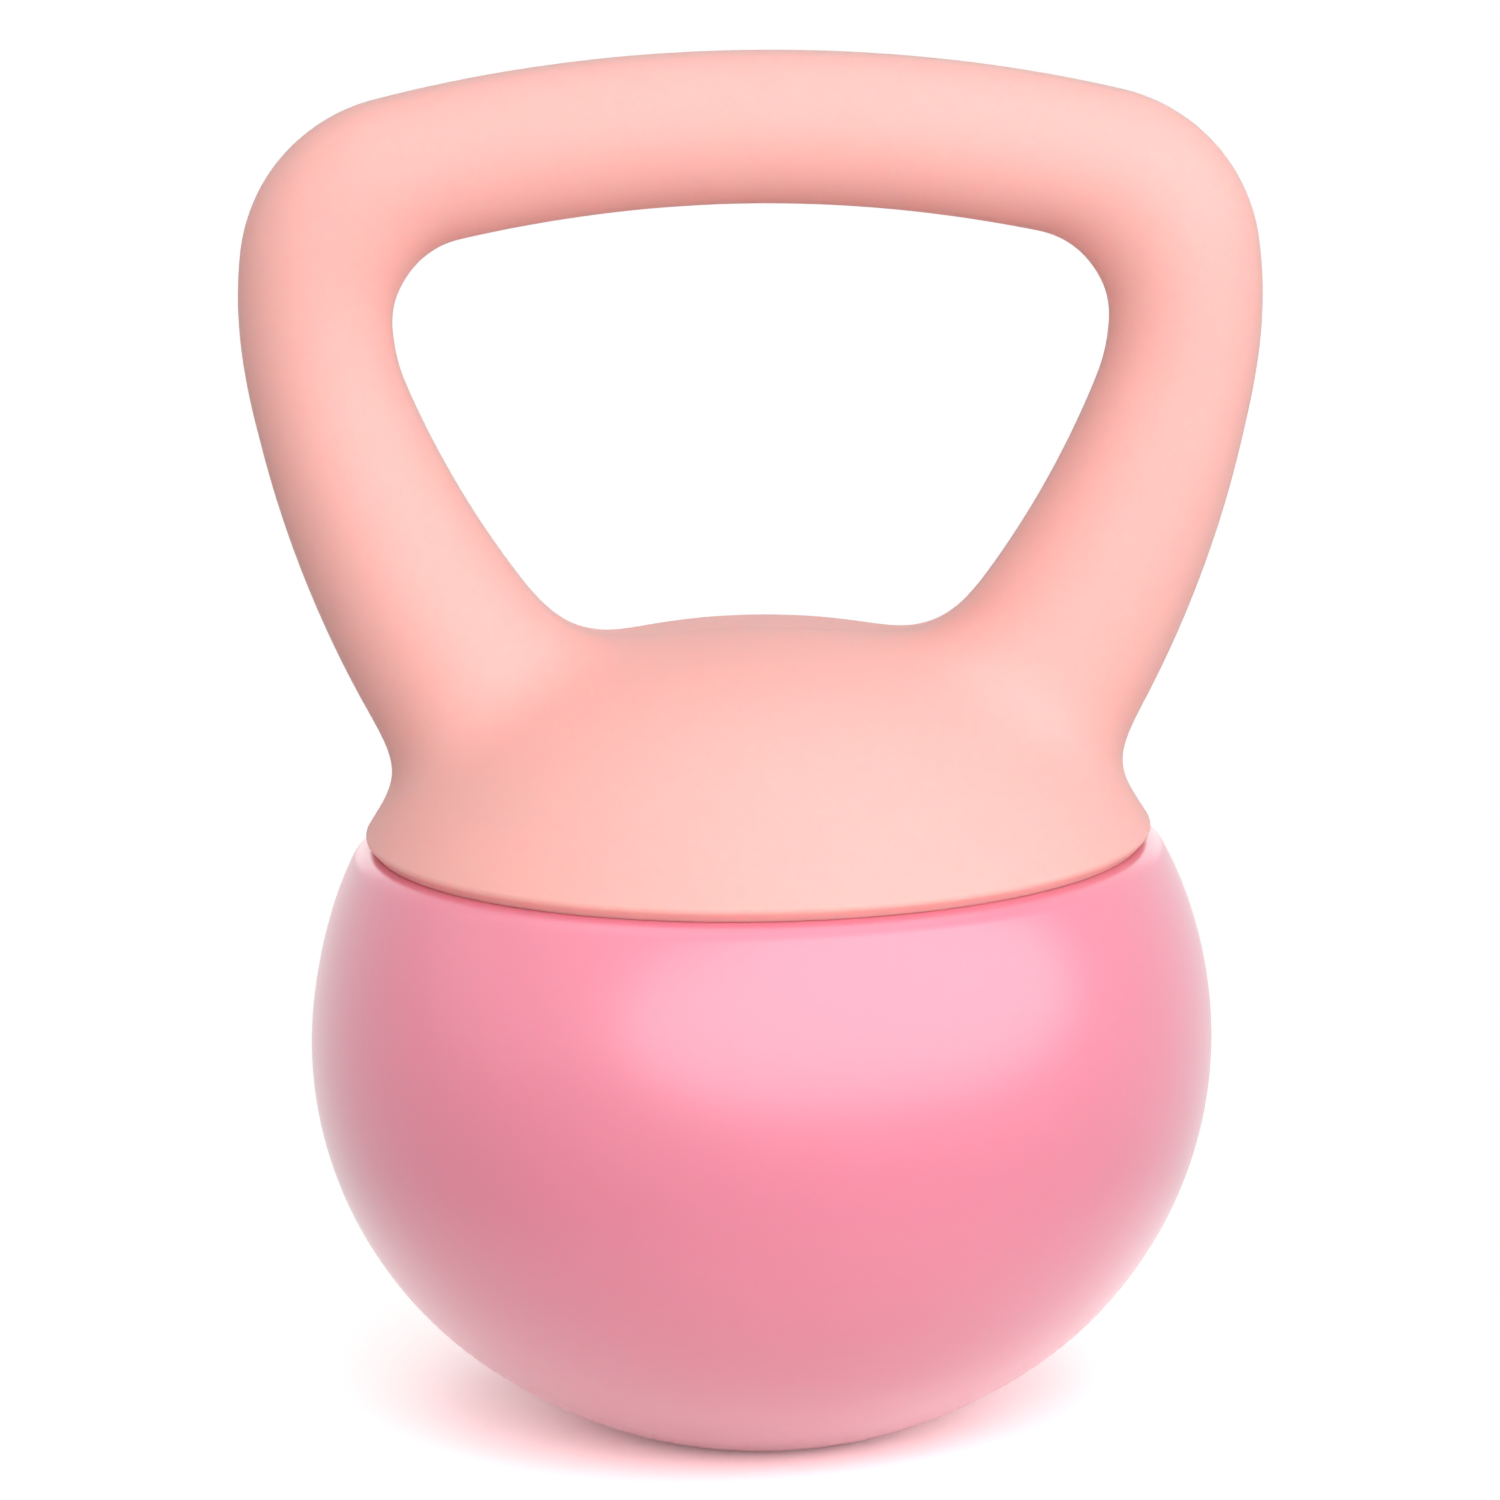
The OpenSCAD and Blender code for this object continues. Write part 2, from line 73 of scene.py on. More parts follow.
def angle(name, description, degrees):
    """An angle property, given in degrees and kept in radians."""
    return FloatProperty(name=name, description=description, default=math.radians(degrees),
                         subtype="ANGLE", unit="ROTATION")


def colour(name, description, hex_colour):
    """A colour property, given as sRGB hex and kept linear."""
    return FloatVectorProperty(name=name, description=description, size=4, subtype="COLOR",
                               min=0, max=1, default=linear(hex_colour))


def power(name, description, watts):
    """A lamp's strength, in watts."""
    return FloatProperty(name=name, description=description, default=watts, subtype="POWER",
                         unit="POWER")


# ---------------- sizes and colours

FRONT_LOW, FRONT_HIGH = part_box("handle_front_shell")
PLATE_LOW, PLATE_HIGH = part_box("closure_plate")
BALL_LOW, BALL_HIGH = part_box("ball_skin")
MOUTH_GAP = 0.02    # mm left between the ball's mouth and the cap's rim


class HandleSettings(PropertyGroup):
    """Sizes and colour of the moulded handle and cap."""
    overall_h: size("Overall height", "From the floor to the top of the handle", FRONT_HIGH.z / MM)
    rim_z: size("Rim level", "Level of the cap's flat rim", FRONT_LOW.z / MM)
    handle_w: size("Width", "Width of the handle over its shoulders", 189.9)
    crown_r: size("Crown radius", "Radius of the grip's gentle crown", 272)
    corner_r: size("Corner radius", "Radius of the corners, along their middle line", 26)
    corner_heading: angle("Corner heading", "Heading of the tube where a corner ends", 88.8)
    shoulder_r: size("Shoulder radius", "Radius of the shoulders under the corners", 64)
    shoulder_heading: angle("Shoulder heading", "Heading where the shoulder ends", 106.67)
    landing_x: size("Landing", "How far from the axis each leg lands on the cap", 51.0)
    grip_d: size("Grip diameter", "Diameter of the grip", 28.3)
    corner_swell: size("Corner swell", "How much thicker the tube gets towards a corner", 0.6)
    outer_corner_r: size("Outer corner radius", "Radius of a corner's outline on the outside", 33.4)
    window_corner_r: size("Window corner radius", "Radius of a corner's outline at the window", 16.3)
    shoulder_d: size("Shoulder diameter", "Diameter at a shoulder, the thinnest place", 28.3)
    leg_d: size("Leg diameter", "Diameter of a leg where it lands on the cap", 39.9)
    waist_room: size("Waist room", "How far down the leg its even flare starts", 2.5)
    outer_blend: size("Outer blend", "Reach of the blend from leg to cap, on the outer side", 13)
    window_blend: size("Window blend", "Reach of the blend on the side of the hand window", 20)
    cap_rise: size("Cap rise", "Height of the cap over its rim", 40.4)
    crest_r: size("Crest radius", "Radius of the cap's flat crest", 167)
    rim_r: size("Rim radius", "Widest radius of the cap's lower lip", 73.6)
    lip_round: size("Lip rounding", "Rounding of the lip's edge", 1.2)
    lip_rise: size("Lip rise", "Height of the lip's edge over its flat rim", 2.3)
    lip_lean: angle("Lip lean", "How far down the bevel under the lip's edge faces", 42)
    wall: size("Wall", "Thickness of the moulded wall", 3)
    over_lip: size("Lip over the plate", "Thickness of the lip over the closure plate's flange", 2.4)
    flange_r: size("Plate flange radius", "Outer radius of the closure plate's gripped flange", 68.3)
    flange_w: size("Plate flange", "Width of that flange", 5.4)
    flange_h: size("Plate flange thickness", "Thickness of that flange", 2)
    plate_clear: size("Plate clearance", "Gap round the closure plate's flange", 0.3)
    weld_width: size("Weld width", "Width of the scraped weld line round the handle", 0.8)
    weld_depth: size("Weld depth", "Depth of that line", 0.12)
    skin_step: size("Skin step", "Size of the faces of the moulded skin", 1.0, 0.2)
    plastic: colour("Handle plastic", "Colour of the handle's plastic", "#FBB2AC")


class BallSettings(PropertyGroup):
    """Sizes and colour of the soft ball."""
    ball_d: size("Ball diameter", "Widest diameter of the ball", (BALL_HIGH.y - BALL_LOW.y) / MM)
    mouth_z: size("Mouth level", "Level of the mouth, pressed up against the cap's rim",
                  FRONT_LOW.z / MM - MOUTH_GAP)
    side_out: size("Side curve offset", "From the axis to the centre of the side curve", 10.5)
    under_up: size("Underside rise", "From the side curve's centre up to the underside's", 11.5)
    foot_d: size("Foot diameter", "Diameter of the flat foot", 46)
    foot_round: size("Foot rounding", "Softening of the foot's edge", 5)
    mouth_round: size("Mouth rounding", "Rounding of the mouth's edge", 3.1)
    lip_w: size("Lip width", "Width of the lip round the closure plate", 3.2)
    skin_t: size("Skin thickness", "Thickness of the soft wall", 4)
    floor_t: size("Floor thickness", "Thickness of the ball's floor", 6)
    flange_t: size("Flange thickness", "Thickness of the clamped flange", 3.5)
    gasket_t: size("Gasket thickness", "Thickness of the gasket on the flange", 1.5)
    flange_in: size("Flange bore", "Radius of the opening inside the clamped flange", 48.4)
    settle_foot: size("Settling over the foot", "Height over which the ball's bulges fade in", 22)
    settle_mouth: size("Settling under the mouth", "Depth over which the bulges fade out", 30)
    skin_step: size("Skin step", "Length of the faces along the ball's curve", 1.2, 0.2)
    around: IntProperty(name="Segments", description="Faces round the ball", default=288, min=48)
    vinyl: colour("Ball vinyl", "Colour of the soft vinyl skin", "#E27D96")


class StageSettings(PropertyGroup):
    """Floor, lights and camera."""
    camera_distance: size("Camera distance", "From the ball's axis, along Y", 1500)
    camera_height: size("Camera height", "Over the floor", 432)
    aim_height: size("Aim height", "Where the camera looks, on the ball's axis", 129.8)
    lens: FloatProperty(name="Lens", description="Focal length on a 36 mm sensor", default=195.8)
    roll: angle("Roll", "Lean of the picture's top to the left", 0.85)
    shift: FloatProperty(name="Shift", description="Sideways shift of the picture", default=-0.0047)
    key: power("Key", "Strength of the big lamp at the front right", 34)
    fill: power("Fill", "Strength of the lamp at the left", 9.5)
    top: power("Top", "Strength of the lamp overhead", 6)
    back: power("Back", "Strength of the lamp behind the object", 2.5)
    world: FloatProperty(name="Surround", description="Level of the pale surroundings", default=0.2)
    paper_lift: FloatProperty(name="Paper lift", default=4.9,
                              description="How many times paler the floor is seen than it reflects")
    paper_near: size("Paper near", "Distance from the axis where the paper starts to turn white", 60)
    paper_far: size("Paper far", "Distance from the axis where it is pure white", 170)
    floor_size: size("Floor size", "Length of the floor's sides", 6000)
    floor: colour("Floor", "Colour of the studio floor, by which it reflects light", "#A8A5A4")


# ---------------- small mesh helpers

def mesh_object(name, points, faces):
    """A smooth-shaded mesh object, linked to the scene."""
    mesh = bpy.data.meshes.new(name)
    mesh.from_pydata([tuple(p) for p in points], [], faces)
    mesh.validate()
    mesh.shade_smooth()
    piece = bpy.data.objects.new(name, mesh)
    bpy.context.scene.collection.objects.link(piece)
    return piece


def coordinates(mesh):
    """The mesh's points as an array, one row each."""
    points = np.empty(len(mesh.vertices) * 3)
    mesh.vertices.foreach_get("co", points)
    return points.reshape(-1, 3)


def loft(rings):
    """Points and faces of the closed skin over a row of rings of equal count."""
    n = len(rings[0])
    faces = [(i * n + k, (i + 1) * n + k, (i + 1) * n + (k + 1) % n, i * n + (k + 1) % n)
             for i in range(len(rings) - 1) for k in range(n)]
    last = n * (len(rings) - 1)
    faces += [tuple(range(n)), tuple(range(last + n - 1, last - 1, -1))]
    return [p for ring in rings for p in ring], faces


def spin(profile, around):
    """Points and faces of a profile of (radius, z) turned about Z. Its ends lie on the axis."""
    turns = [2 * math.pi * k / around for k in range(around)]
    points = [(0, 0, profile[0][1])]
    points += [(r * math.cos(a), r * math.sin(a), z) for r, z in profile[1:-1] for a in turns]
    points.append((0, 0, profile[-1][1]))
    rows = len(profile) - 2
    top = len(points) - 1
    faces = []
    for k in range(around):
        after = (k + 1) % around
        faces.append((0, 1 + after, 1 + k))
        faces += [(1 + i * around + k, 1 + i * around + after,
                   1 + (i + 1) * around + after, 1 + (i + 1) * around + k) for i in range(rows - 1)]
        faces.append((1 + (rows - 1) * around + k, 1 + (rows - 1) * around + after, top))
    return points, faces


def arc(centre, radius, start, end, step):
    """Points on a circle in the section plane, no more than step apart."""
    count = max(2, math.ceil(abs(end - start) * radius / step))
    return [(centre[0] + radius * math.cos(a), centre[1] + radius * math.sin(a))
            for a in np.linspace(start, end, count + 1)]


def line(start, end, step):
    """Points on a straight line, no more than step apart, both ends included."""
    count = max(1, math.ceil(math.dist(start, end) / step))
    return [(start[0] + (end[0] - start[0]) * k / count, start[1] + (end[1] - start[1]) * k / count)
            for k in range(count + 1)]


def applied(piece):
    """The same object with its modifiers applied."""
    bpy.context.view_layer.update()
    made = piece.evaluated_get(bpy.context.evaluated_depsgraph_get())
    mesh = bpy.data.meshes.new_from_object(made)
    piece.modifiers.clear()
    spent, piece.data = piece.data, mesh
    bpy.data.meshes.remove(spent)
    mesh.shade_smooth()
    return piece


def cut_away(piece, cutter):
    """Takes the cutter's room out of the piece."""
    cut = piece.modifiers.new("cut", "BOOLEAN")
    cut.operation = "DIFFERENCE"
    cut.solver = "MANIFOLD"
    cut.object = cutter
    applied(piece)
    bpy.data.objects.remove(cutter)
    if not piece.data.polygons:
        raise RuntimeError(f"nothing is left of {piece.name}")


# ---------------- the handle's form

# How finely the handle is worked out.
FLANK_ROUNDS = 20       # rounds in which the dome's flank is fitted to the lip
GAUGE_STEPS = 800       # places along the tube at which its thickness is kept
BLANK_SIDES = 32        # sides of the blank's tube
BLANK_STOPS = 10        # rings of the blank along each arc
BLANK_RINGS = 40        # rings of the blank's dome
BLANK_AROUND = 120      # sides of the blank's dome
SETTLE_ROUNDS = 6       # rounds in which the blank's points go onto the surface
EVENING_ROUNDS = 8      # rounds in which they are spread evenly over it
EVENING_SHARE = 0.6     # how far a point goes towards the middle of its neighbours in a round
RESETTLE_ROUNDS = 2     # rounds in which they go back onto the surface after each of those
FIELD_STEP = 0.02 * MM  # half the distance over which the field's slope is measured
FLAT_FIELD = 0.25       # least squared slope that a point's move is divided by
RUN_IN = 0.25           # how far the leg runs on into the cap, as a share of its diameter
ON_PLANE = 0.001 * MM   # a point this near to the weld's plane lies on it
SHARP_EDGE = math.radians(50)   # edges from this angle up stay sharp
LIP_MEET = math.radians(8)      # angle at which the lip's rounding meets the dome's flank
UNDERSIDE_AROUND = 360          # sides of the turned underside


def arc_step(stop, radius, turn):
    """The stop reached along an arc.

    A stop is x, z, heading and distance from the start. Heading 0 is +X, and it turns downwards.
    """
    x, z, heading, distance = stop
    return (x + radius * (math.sin(heading + turn) - math.sin(heading)),
            z + radius * (math.cos(heading + turn) - math.cos(heading)),
            heading + turn, distance + radius * turn)


def reach_circle(start, way, centre, radius):
    """How far it is from a start inside a circle, going the given way, to the circle."""
    back = start - centre
    along = back @ way
    room = along * along - back @ back + radius * radius
    return -along + math.sqrt(max(room, 0))


def corner_centre(crown, shoulder, crown_reach, shoulder_reach):
    """The point at the given distances from the crown's and the shoulder's centre, at the corner."""
    apart = shoulder - crown
    gap = np.hypot(*apart)
    way = apart / gap
    along = (gap ** 2 + crown_reach ** 2 - shoulder_reach ** 2) / (2 * gap)
    across = math.sqrt(crown_reach ** 2 - along ** 2) * np.array([-way[1], way[0]])
    foot = crown + along * way
    first = foot + across
    if first[0] < 0 or first[1] < shoulder[1]:
        return foot - across
    return first


class HandleForm:
    """The handle and cap as a distance field: below 0 inside, above 0 outside.

    The form ends flat at its bottom. The cap's own goes on below the rim, for the lip to be cut
    out of it. An inset gives the form of the hollow inside.
    """

    def __init__(self, s, inset, bottom):
        self.s = s
        self.inset = inset
        self.bottom = bottom
        self.lip = (s.rim_r - s.lip_round, s.rim_z + s.lip_rise)
        self.top = s.rim_z + s.cap_rise
        self.crest = 1 / (2 * s.crest_r)
        self.flank = 0.0
        for _ in range(FLANK_ROUNDS):
            slope = self.dome_slope(self.lip[0])
            edge_z = self.lip[1] + s.lip_round * math.hypot(1, slope)
            self.flank = (self.top - edge_z - self.crest * self.lip[0] ** 2) / self.lip[0] ** 4
        self.plan_path()
        self.plan_gauge()

    def dome_z(self, r):
        """Level of the dome over a radius: nearly flat at the crest, and steeper towards the rim."""
        return self.top - self.crest * r ** 2 - self.flank * r ** 4

    def dome_slope(self, r):
        """How steeply the dome falls at a radius."""
        return 2 * self.crest * r + 4 * self.flank * r ** 3

    def plan_path(self):
        """The tube's middle line from the grip to the cap: crown, corner, shoulder and leg.

        Each is an arc that runs smoothly into the next, kept as its first stop, radius and turn.
        """
        s = self.s
        shoulder_x = (s.handle_w - s.shoulder_d) / 2
        bend = math.sin(s.corner_heading)
        crown_turn = math.asin((shoulder_x - s.corner_r * bend - s.shoulder_r * (1 - bend))
                               / (s.crown_r - s.corner_r))
        start = (0.0, s.overall_h - s.grip_d / 2, 0.0, 0.0)
        bends = [(s.crown_r, crown_turn), (s.corner_r, s.corner_heading - crown_turn),
                 (s.shoulder_r, s.shoulder_heading - s.corner_heading)]
        self.arcs = []
        for radius, turn in bends:
            self.arcs.append((start, radius, turn))
            start = arc_step(start, radius, turn)
        chord = (s.landing_x - start[0], self.dome_z(s.landing_x) - start[1])
        turn = 2 * (math.atan2(-chord[1], chord[0]) - s.shoulder_heading)
        radius = math.hypot(*chord) / (2 * math.sin(turn / 2))
        self.arcs.append((start, radius, turn))
        self.end = arc_step(start, radius, turn)

    def plan_gauge(self):
        """The tube's diameter along the path, and how far its sides stand out in the corners.

        The diameter runs in smooth cubics through the grip's middle, the corner, the waist, the
        place from which the leg flares evenly, and the landing.
        """
        s = self.s
        corner, shoulder, leg = (a[0][3] for a in self.arcs[1:])
        waist = (shoulder + leg) / 2
        even = leg + s.waist_room
        landing = self.end[3]
        self.flare = (s.leg_d - s.shoulder_d) / (landing - (waist + even) / 2)
        flared = s.leg_d - self.flare * (landing - even)
        at = np.array([0, (corner + shoulder) / 2, waist, even, landing])
        value = np.array([s.grip_d, s.grip_d + s.corner_swell, s.shoulder_d, flared, s.leg_d])
        slope = np.array([0, 0, 0, self.flare, self.flare])
        self.gauge_s = np.linspace(0, landing, GAUGE_STEPS)
        i = np.clip(np.searchsorted(at, self.gauge_s) - 1, 0, 3)
        run = at[i + 1] - at[i]
        t = (self.gauge_s - at[i]) / run
        self.gauge_d = (value[i] * (1 + 2 * t) * (1 - t) ** 2 + value[i + 1] * t * t * (3 - 2 * t)
                        + run * (slope[i] * t * (1 - t) ** 2 - slope[i + 1] * t * t * (1 - t)))
        self.outside = self.rail(s.outer_corner_r, 1)
        self.window = self.rail(s.window_corner_r, -1)

    def rail(self, corner_r, side):
        """How much farther out than the grip's side an outline runs whose corner has this radius.

        Side 1 is the outside, -1 the window. The corner's arc runs smoothly into the arcs that
        follow the crown and the shoulder.
        """
        half = side * self.s.grip_d / 2
        (crown, crown_r, _), _, (shoulder, shoulder_r, _), (leg, _, _) = self.arcs
        centres = [np.array([x - r * math.sin(h), z - r * math.cos(h)])
                   for (x, z, h, _), r in ((crown, crown_r), (shoulder, shoulder_r))]
        middle = corner_centre(*centres, crown_r + half - corner_r, shoulder_r + half - corner_r)
        circles = ((centres[0], crown_r + half), (middle, corner_r), (centres[1], shoulder_r + half))
        bounds = [math.atan2(*(middle - centre)) for centre in centres]
        excess = []
        for distance in self.gauge_s:
            start, radius, _ = next(a for a in reversed(self.arcs) if distance >= a[0][3])
            x, z, h, _ = arc_step(start, radius, (distance - start[3]) / radius)
            place, out = np.array([x, z]), np.array([math.sin(h), math.cos(h)])
            reaches = [reach_circle(place, out, *circle) for circle in circles]
            turn = math.atan2(*(place + reaches[1] * out - middle))
            pick = 0 if turn < bounds[0] else 1 if turn < bounds[1] else 2
            excess.append(side * (reaches[pick] - half) if distance < leg[3] else 0.0)
        return np.array(excess)

    def tube(self, p):
        """Distance to the tube of grip, corners and legs, which runs on a little way into the cap.

        In the corners the rails let the tube stand out, most of all in the handle's own plane.
        Past an arc's ends its distance grows faster, so that no round end bulges out where the
        tube gets thinner.
        """
        x, y, z = np.abs(p[:, 0]), p[:, 1], p[:, 2]
        best = np.full(len(p), np.inf)
        for (sx, sz, heading, along), radius, turn in self.arcs:
            cx = sx - radius * math.sin(heading)
            cz = sz - radius * math.cos(heading)
            middle = heading + turn / 2
            off = np.arctan2(x - cx, z - cz) - middle
            off = (off + math.pi) % (2 * math.pi) - math.pi
            within = np.clip(off, -turn / 2, turn / 2)
            at = middle + within
            gap = np.sqrt((x - cx - radius * np.sin(at)) ** 2 + y ** 2
                          + (z - cz - radius * np.cos(at)) ** 2)
            run = along + radius * (at - heading)
            width = np.interp(run, self.gauge_s, self.gauge_d)
            out = (np.hypot(x - cx, z - cz) - radius) / np.maximum(gap, 1e-9)
            swell = (np.interp(run, self.gauge_s, self.outside) * (0.5 + out / 2) ** 3
                     + np.interp(run, self.gauge_s, self.window) * (0.5 - out / 2) ** 3)
            past = radius * np.abs(off - within) / 2
            best = np.minimum(best, gap - width / 2 - swell + past)
        ex, ez, heading, _ = self.end
        dx, dz = math.cos(heading), -math.sin(heading)
        ahead = (x - ex) * dx + (z - ez) * dz
        run = np.clip(ahead, 0, self.s.leg_d * RUN_IN)
        gap = np.sqrt((x - ex - run * dx) ** 2 + y ** 2 + (z - ez - run * dz) ** 2)
        past = np.maximum(-ahead, 0) / 2
        return np.minimum(best, gap - (self.s.leg_d + run * self.flare) / 2 + past)

    def cap(self, p):
        """Distance to the cap's dome."""
        r = np.hypot(p[:, 0], p[:, 1])
        return (p[:, 2] - self.dome_z(r)) / np.hypot(1, self.dome_slope(r))

    def __call__(self, p):
        """Distance to the whole moulding. Legs and cap meet in a soft blend, a cubic one.

        The same blend rounds the edge between the skin and the form's flat bottom.
        """
        s = self.s
        tube, cap = self.tube(p), self.cap(p)
        to_window = np.clip(0.5 + (s.landing_x - np.abs(p[:, 0])) / s.leg_d, 0, 1)
        reach = s.outer_blend + (s.window_blend - s.outer_blend) * to_window
        mix = np.maximum(reach - np.abs(tube - cap), 0) / reach
        skin = np.minimum(tube, cap) - mix ** 3 * reach / 6 + self.inset
        floor = self.bottom - p[:, 2]
        edge = np.maximum(s.wall - np.abs(skin - floor), 0) / s.wall
        return np.maximum(skin, floor) + edge ** 3 * s.wall / 6

    def gradient(self, p):
        """The field's slope along X, Y and Z."""
        columns = [(self(p + axis) - self(p - axis)) / (2 * FIELD_STEP)
                   for axis in np.eye(3) * FIELD_STEP]
        return np.stack(columns, 1)

    def settle(self, p, rounds):
        """Moves points onto the moulding's surface, along the field's gradient."""
        for _ in range(rounds):
            g = self.gradient(p)
            p = p - g * (self(p) / np.maximum((g * g).sum(1), FLAT_FIELD))[:, None]
        return p

    def blank(self, step):
        """A rough mesh of the form: the whole tube and the dome, fused into faces of this size."""
        s = self.s
        sides = [2 * math.pi * k / BLANK_SIDES for k in range(BLANK_SIDES)]
        stops = [arc_step(start, radius, turn * k / BLANK_STOPS)
                 for start, radius, turn in self.arcs for k in range(BLANK_STOPS)]
        x, z, heading, along = self.end
        ahead = s.leg_d * RUN_IN
        stops += [self.end, (x + ahead * math.cos(heading), z - ahead * math.sin(heading), heading,
                             along + ahead)]
        right = []
        for x, z, heading, along in stops:
            half = np.interp(along, self.gauge_s, self.gauge_d) / 2 - self.inset
            right.append([(x + half * math.cos(a) * math.sin(heading), half * math.sin(a),
                           z + half * math.cos(a) * math.cos(heading)) for a in sides])
        left = [[(-x, y, z) for x, y, z in ring] for ring in reversed(right[1:])]
        points, faces = loft(left + right)
        radii = np.linspace(s.rim_r + s.wall, 0, BLANK_RINGS)
        dome = [(r, self.dome_z(r) - self.inset) for r in radii]
        dome = [(r, z) for r, z in dome if z > self.bottom]
        cap_points, cap_faces = spin([(0, self.bottom)] + dome, BLANK_AROUND)
        faces += [tuple(i + len(points) for i in face) for face in cap_faces]
        rough = mesh_object("blank", points + cap_points, faces)
        remesh = rough.modifiers.new("fuse", "REMESH")
        remesh.mode = "VOXEL"
        remesh.voxel_size = step
        return applied(rough)

    def skin(self, name, step):
        """The form as a smooth closed mesh object.

        The blank's points go onto the form's surface and are spread evenly over it.
        """
        piece = self.blank(step)
        piece.name = name
        mesh = piece.data
        edges = np.empty(len(mesh.edges) * 2, dtype=int)
        mesh.edges.foreach_get("vertices", edges)
        a, b = edges.reshape(-1, 2).T
        neighbours = np.bincount(np.concatenate([a, b]), minlength=len(mesh.vertices))
        count = np.maximum(neighbours, 1)[:, None]
        p = self.settle(coordinates(mesh), SETTLE_ROUNDS)
        for _ in range(EVENING_ROUNDS):
            total = np.zeros_like(p)
            np.add.at(total, a, p[b])
            np.add.at(total, b, p[a])
            p = self.settle(p + EVENING_SHARE * (total / count - p), RESETTLE_ROUNDS)
        mesh.vertices.foreach_set("co", p.ravel())
        mesh.update()
        return piece


def half_shell(name, whole, form, side):
    """The front (side -1) or rear (side 1) half of the hollow moulding, closed at the weld.

    The edge along the weld is scraped down a little, on the outside only.
    """
    s = form.s
    bm = bmesh.new()
    bm.from_mesh(whole.data)
    for y in (0.0, side * s.weld_width / 2):
        bmesh.ops.bisect_plane(bm, geom=bm.verts[:] + bm.edges[:] + bm.faces[:], dist=ON_PLANE / 10,
                               plane_co=(0, y, 0), plane_no=(0, 1, 0))
    far = [f for f in bm.faces if f.calc_center_median().y * side < 0]
    bmesh.ops.delete(bm, geom=far, context="FACES")
    seam = [v for v in bm.verts if abs(v.co.y) < ON_PLANE]
    at = np.array([v.co[:] for v in seam])
    slope = form.gradient(at)
    slope[:, 1] = 0
    outside = np.abs(form(at)) < s.wall / 8     # not the edge of the hollow inside
    for v, p, g, out in zip(seam, at, slope, outside):
        v.co = p - g * s.weld_depth if out else p
        v.co.y = 0
    rim = [e for e in bm.edges if e.is_boundary]
    bmesh.ops.triangle_fill(bm, use_beauty=True, use_dissolve=False, edges=rim, normal=(0, -side, 0))
    bmesh.ops.recalc_face_normals(bm, faces=bm.faces[:])
    for face in bm.faces:
        face.smooth = True
    for edge in bm.edges:
        if len(edge.link_faces) == 2 and edge.calc_face_angle(0) > SHARP_EDGE:
            edge.smooth = False
    mesh = bpy.data.meshes.new(name)
    bm.to_mesh(mesh)
    bm.free()
    piece = bpy.data.objects.new(name, mesh)
    bpy.context.scene.collection.objects.link(piece)
    return piece


def underside_room(s, form):
    """What is cut out from below: all under the rim and the lip's bevel, and the plate's room.

    The rounding meets the flank at a small angle, so that the cut runs clean.
    """
    top_angle = math.atan2(1, form.dome_slope(form.lip[0])) - LIP_MEET
    rounding = arc(form.lip, s.lip_round, top_angle, -s.lip_lean, s.lip_round / 8)
    edge_r, edge_z = rounding[-1]
    rim_edge = (edge_r - (edge_z - s.rim_z) * math.tan(s.lip_lean), s.rim_z)
    bevel = line((edge_r, edge_z), rim_edge, s.lip_round / 3)
    rise = s.lip_round * math.tan(LIP_MEET / 2) + s.wall / 3
    start = (rounding[0][0] - rise * math.sin(top_angle), rounding[0][1] + rise * math.cos(top_angle))
    groove_r = s.flange_r + s.plate_clear
    bore_r = groove_r - s.flange_w
    low = PLATE_HIGH.z - s.flange_h - s.plate_clear
    high = PLATE_HIGH.z + s.plate_clear
    top = high + s.over_lip + s.wall
    below = s.rim_z - 3 * s.wall
    far = s.rim_r + 3 * s.wall
    outside = [(0, below), (far, below), (far, start[1]), start, *rounding, *bevel[1:]]
    plate_room = [(bore_r, s.rim_z), (bore_r, low), (groove_r, low), (groove_r, high),
                  (bore_r, high), (bore_r, top), (0, top)]
    return mesh_object("underside_room", *spin(outside + plate_room, UNDERSIDE_AROUND))


# ---------------- the ball's form

def softened(start, corner, end, step):
    """Points on the curve that rounds a corner off, both ends included."""
    count = max(3, math.ceil((math.dist(start, corner) + math.dist(corner, end)) / step))
    return [tuple((1 - t) ** 2 * a + 2 * t * (1 - t) * c + t * t * b
                  for a, c, b in zip(start, corner, end))
            for t in (k / count for k in range(count + 1))]


MOUTH_STEP = 0.2 * MM   # length of the faces round the mouth's edge

# How the soft ball has settled: azimuth and elevation of each swelling or hollow, its height
# in mm, and how wide it spreads in degrees.
SETTLING = (
    (180, -40, 0.3, 26), (186, 24, -0.9, 20), (250, -30, 0.5, 24), (320, -38, 0.6, 26),
    (60, -34, 0.7, 28), (110, 12, -0.5, 22), (20, 14, -0.4, 22), (290, 20, -0.3, 24),
)


def settled(p, s, middle_z):
    """How far each point of the ball's outside moves as the ball settles under its fill.

    Each swelling fades out round its middle, and all fade out at the foot and at the mouth.
    """
    out = p - np.array([0, 0, middle_z])
    out /= np.linalg.norm(out, axis=1)[:, None]
    swell = np.zeros(len(p))
    for azimuth, elevation, height, spread in SETTLING:
        a, e = math.radians(azimuth), math.radians(elevation)
        lobe = np.array([math.cos(e) * math.cos(a), math.cos(e) * math.sin(a), math.sin(e)])
        away = np.degrees(np.arccos(np.clip(out @ lobe, -1, 1)))
        swell += height * MM * np.exp(-(away / spread) ** 2)
    low = np.clip(p[:, 2] / s.settle_foot, 0, 1)
    high = np.clip((s.mouth_z - p[:, 2]) / s.settle_mouth, 0, 1)
    swell *= low * low * (3 - 2 * low) * high * high * (3 - 2 * high)
    return out * swell[:, None]


